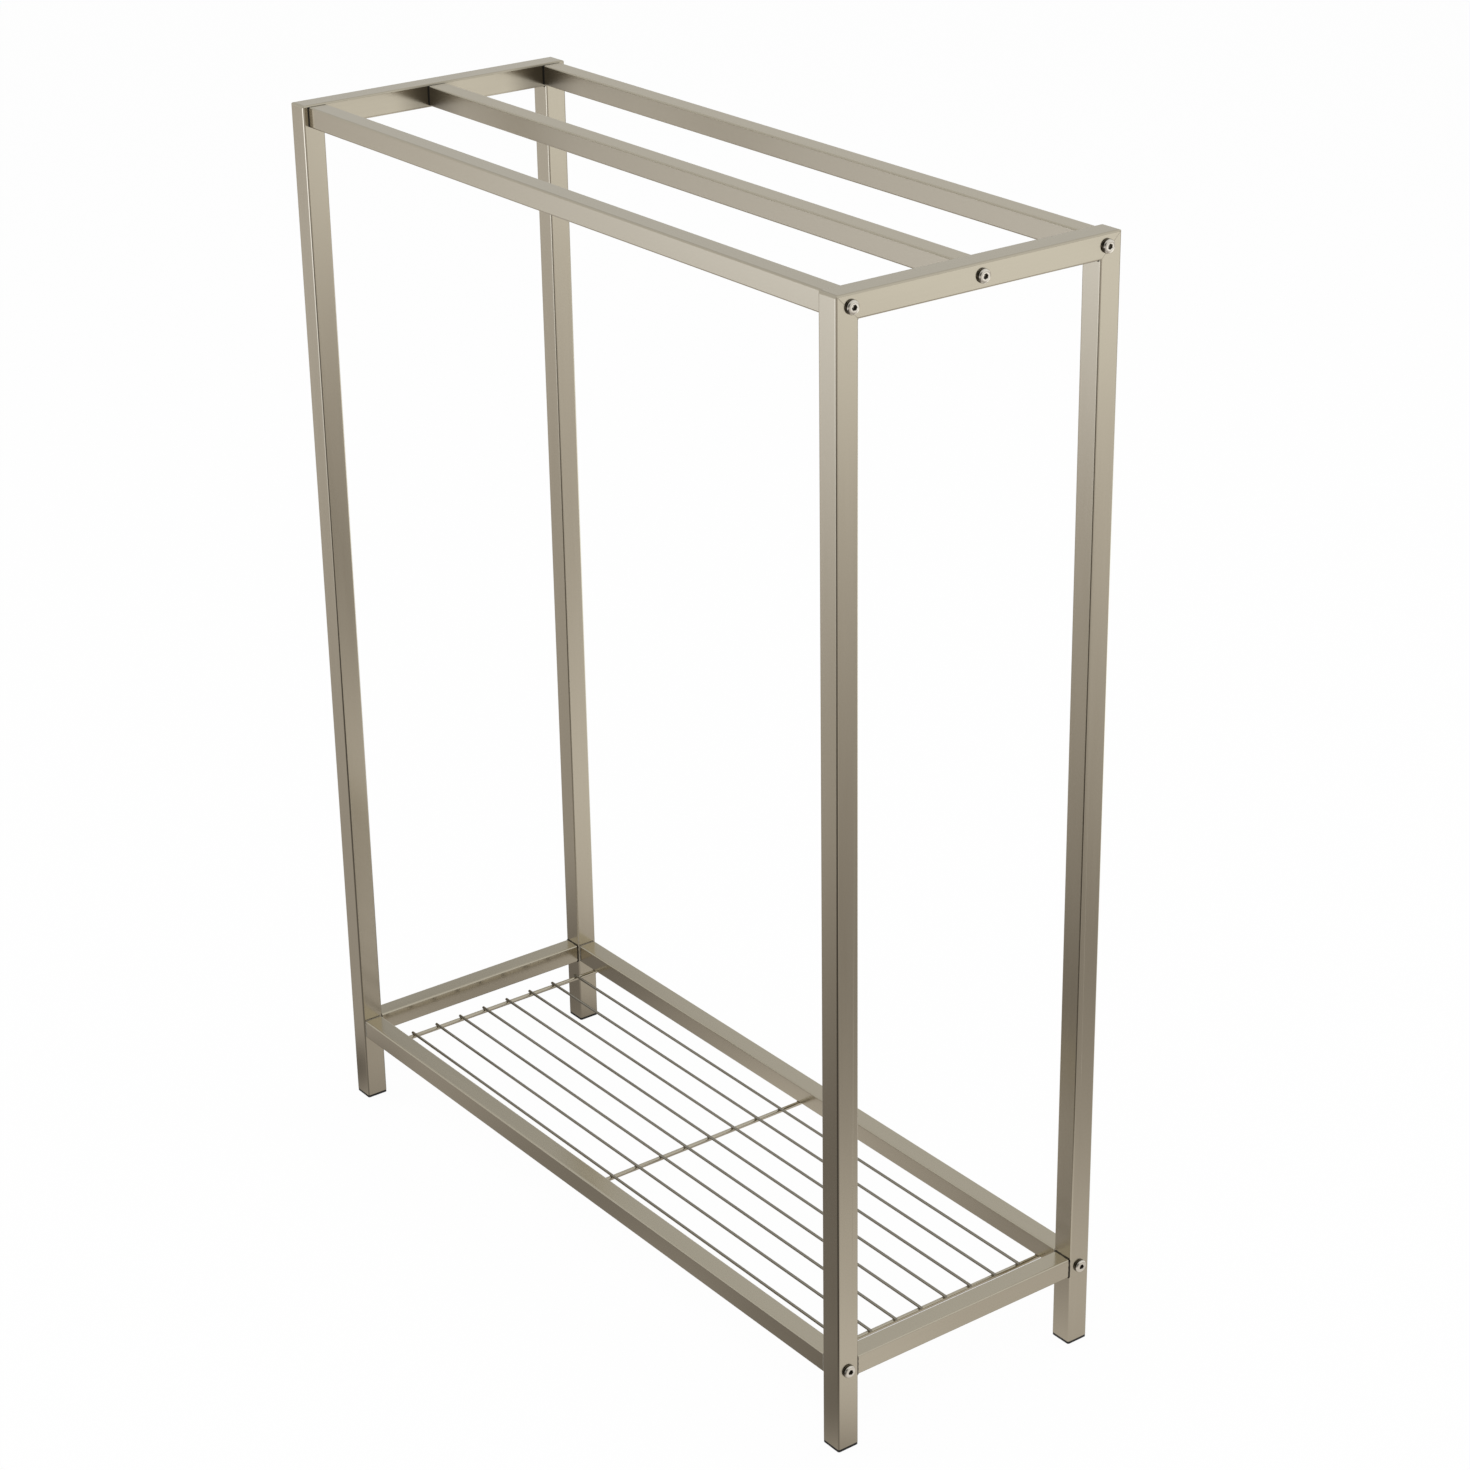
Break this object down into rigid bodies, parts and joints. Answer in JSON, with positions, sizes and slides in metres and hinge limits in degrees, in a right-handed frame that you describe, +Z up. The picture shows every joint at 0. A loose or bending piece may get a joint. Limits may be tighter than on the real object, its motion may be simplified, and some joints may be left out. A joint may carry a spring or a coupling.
{
  "type": "clothing rack",
  "caption": "Free-standing clothing rack of square tube with level parallel hang bars between end frames and a low wire shelf.",
  "frame": {"origin": "floor point under the middle of the rack", "axes": "+X along the hang bars towards the right end frame, +Y from the front to the rear, +Z up"},
  "size_m": [0.938, 0.335, 1.205],
  "materials": {
    "nickel": "satin warm nickel plate on square steel tube",
    "wire": "nickel plated wire",
    "bright_steel": "bright plated socket screws",
    "zinc": "zinc plated nuts",
    "black_plastic": "matt moulded plastic",
    "grey_plastic": "matt moulded plastic in a warm grey near the tone of the tubes"
  },
  "bodies": {
    "root": {"left_front_post": "nickel", "left_rear_post": "nickel", "right_front_post": "nickel", "right_rear_post": "nickel", "left_top_rail": "nickel", "right_top_rail": "nickel", "left_side_rail": "nickel", "right_side_rail": "nickel", "front_hang_bar": "nickel", "middle_hang_bar": "nickel", "rear_hang_bar": "nickel", "front_shelf_rail": "nickel", "rear_shelf_rail": "nickel", "long_wires": "wire", "cross_wires": "wire", "hang_bar_plugs": "black_plastic", "shelf_rail_plugs": "grey_plastic", "hang_bar_nuts": "zinc", "shelf_rail_nuts": "zinc", "left_top_screws": "bright_steel", "right_top_screws": "bright_steel", "left_shelf_screws": "bright_steel", "right_shelf_screws": "bright_steel", "left_front_foot": "black_plastic", "left_rear_foot": "black_plastic", "right_front_foot": "black_plastic", "right_rear_foot": "black_plastic"}
  },
  "joints": []
}
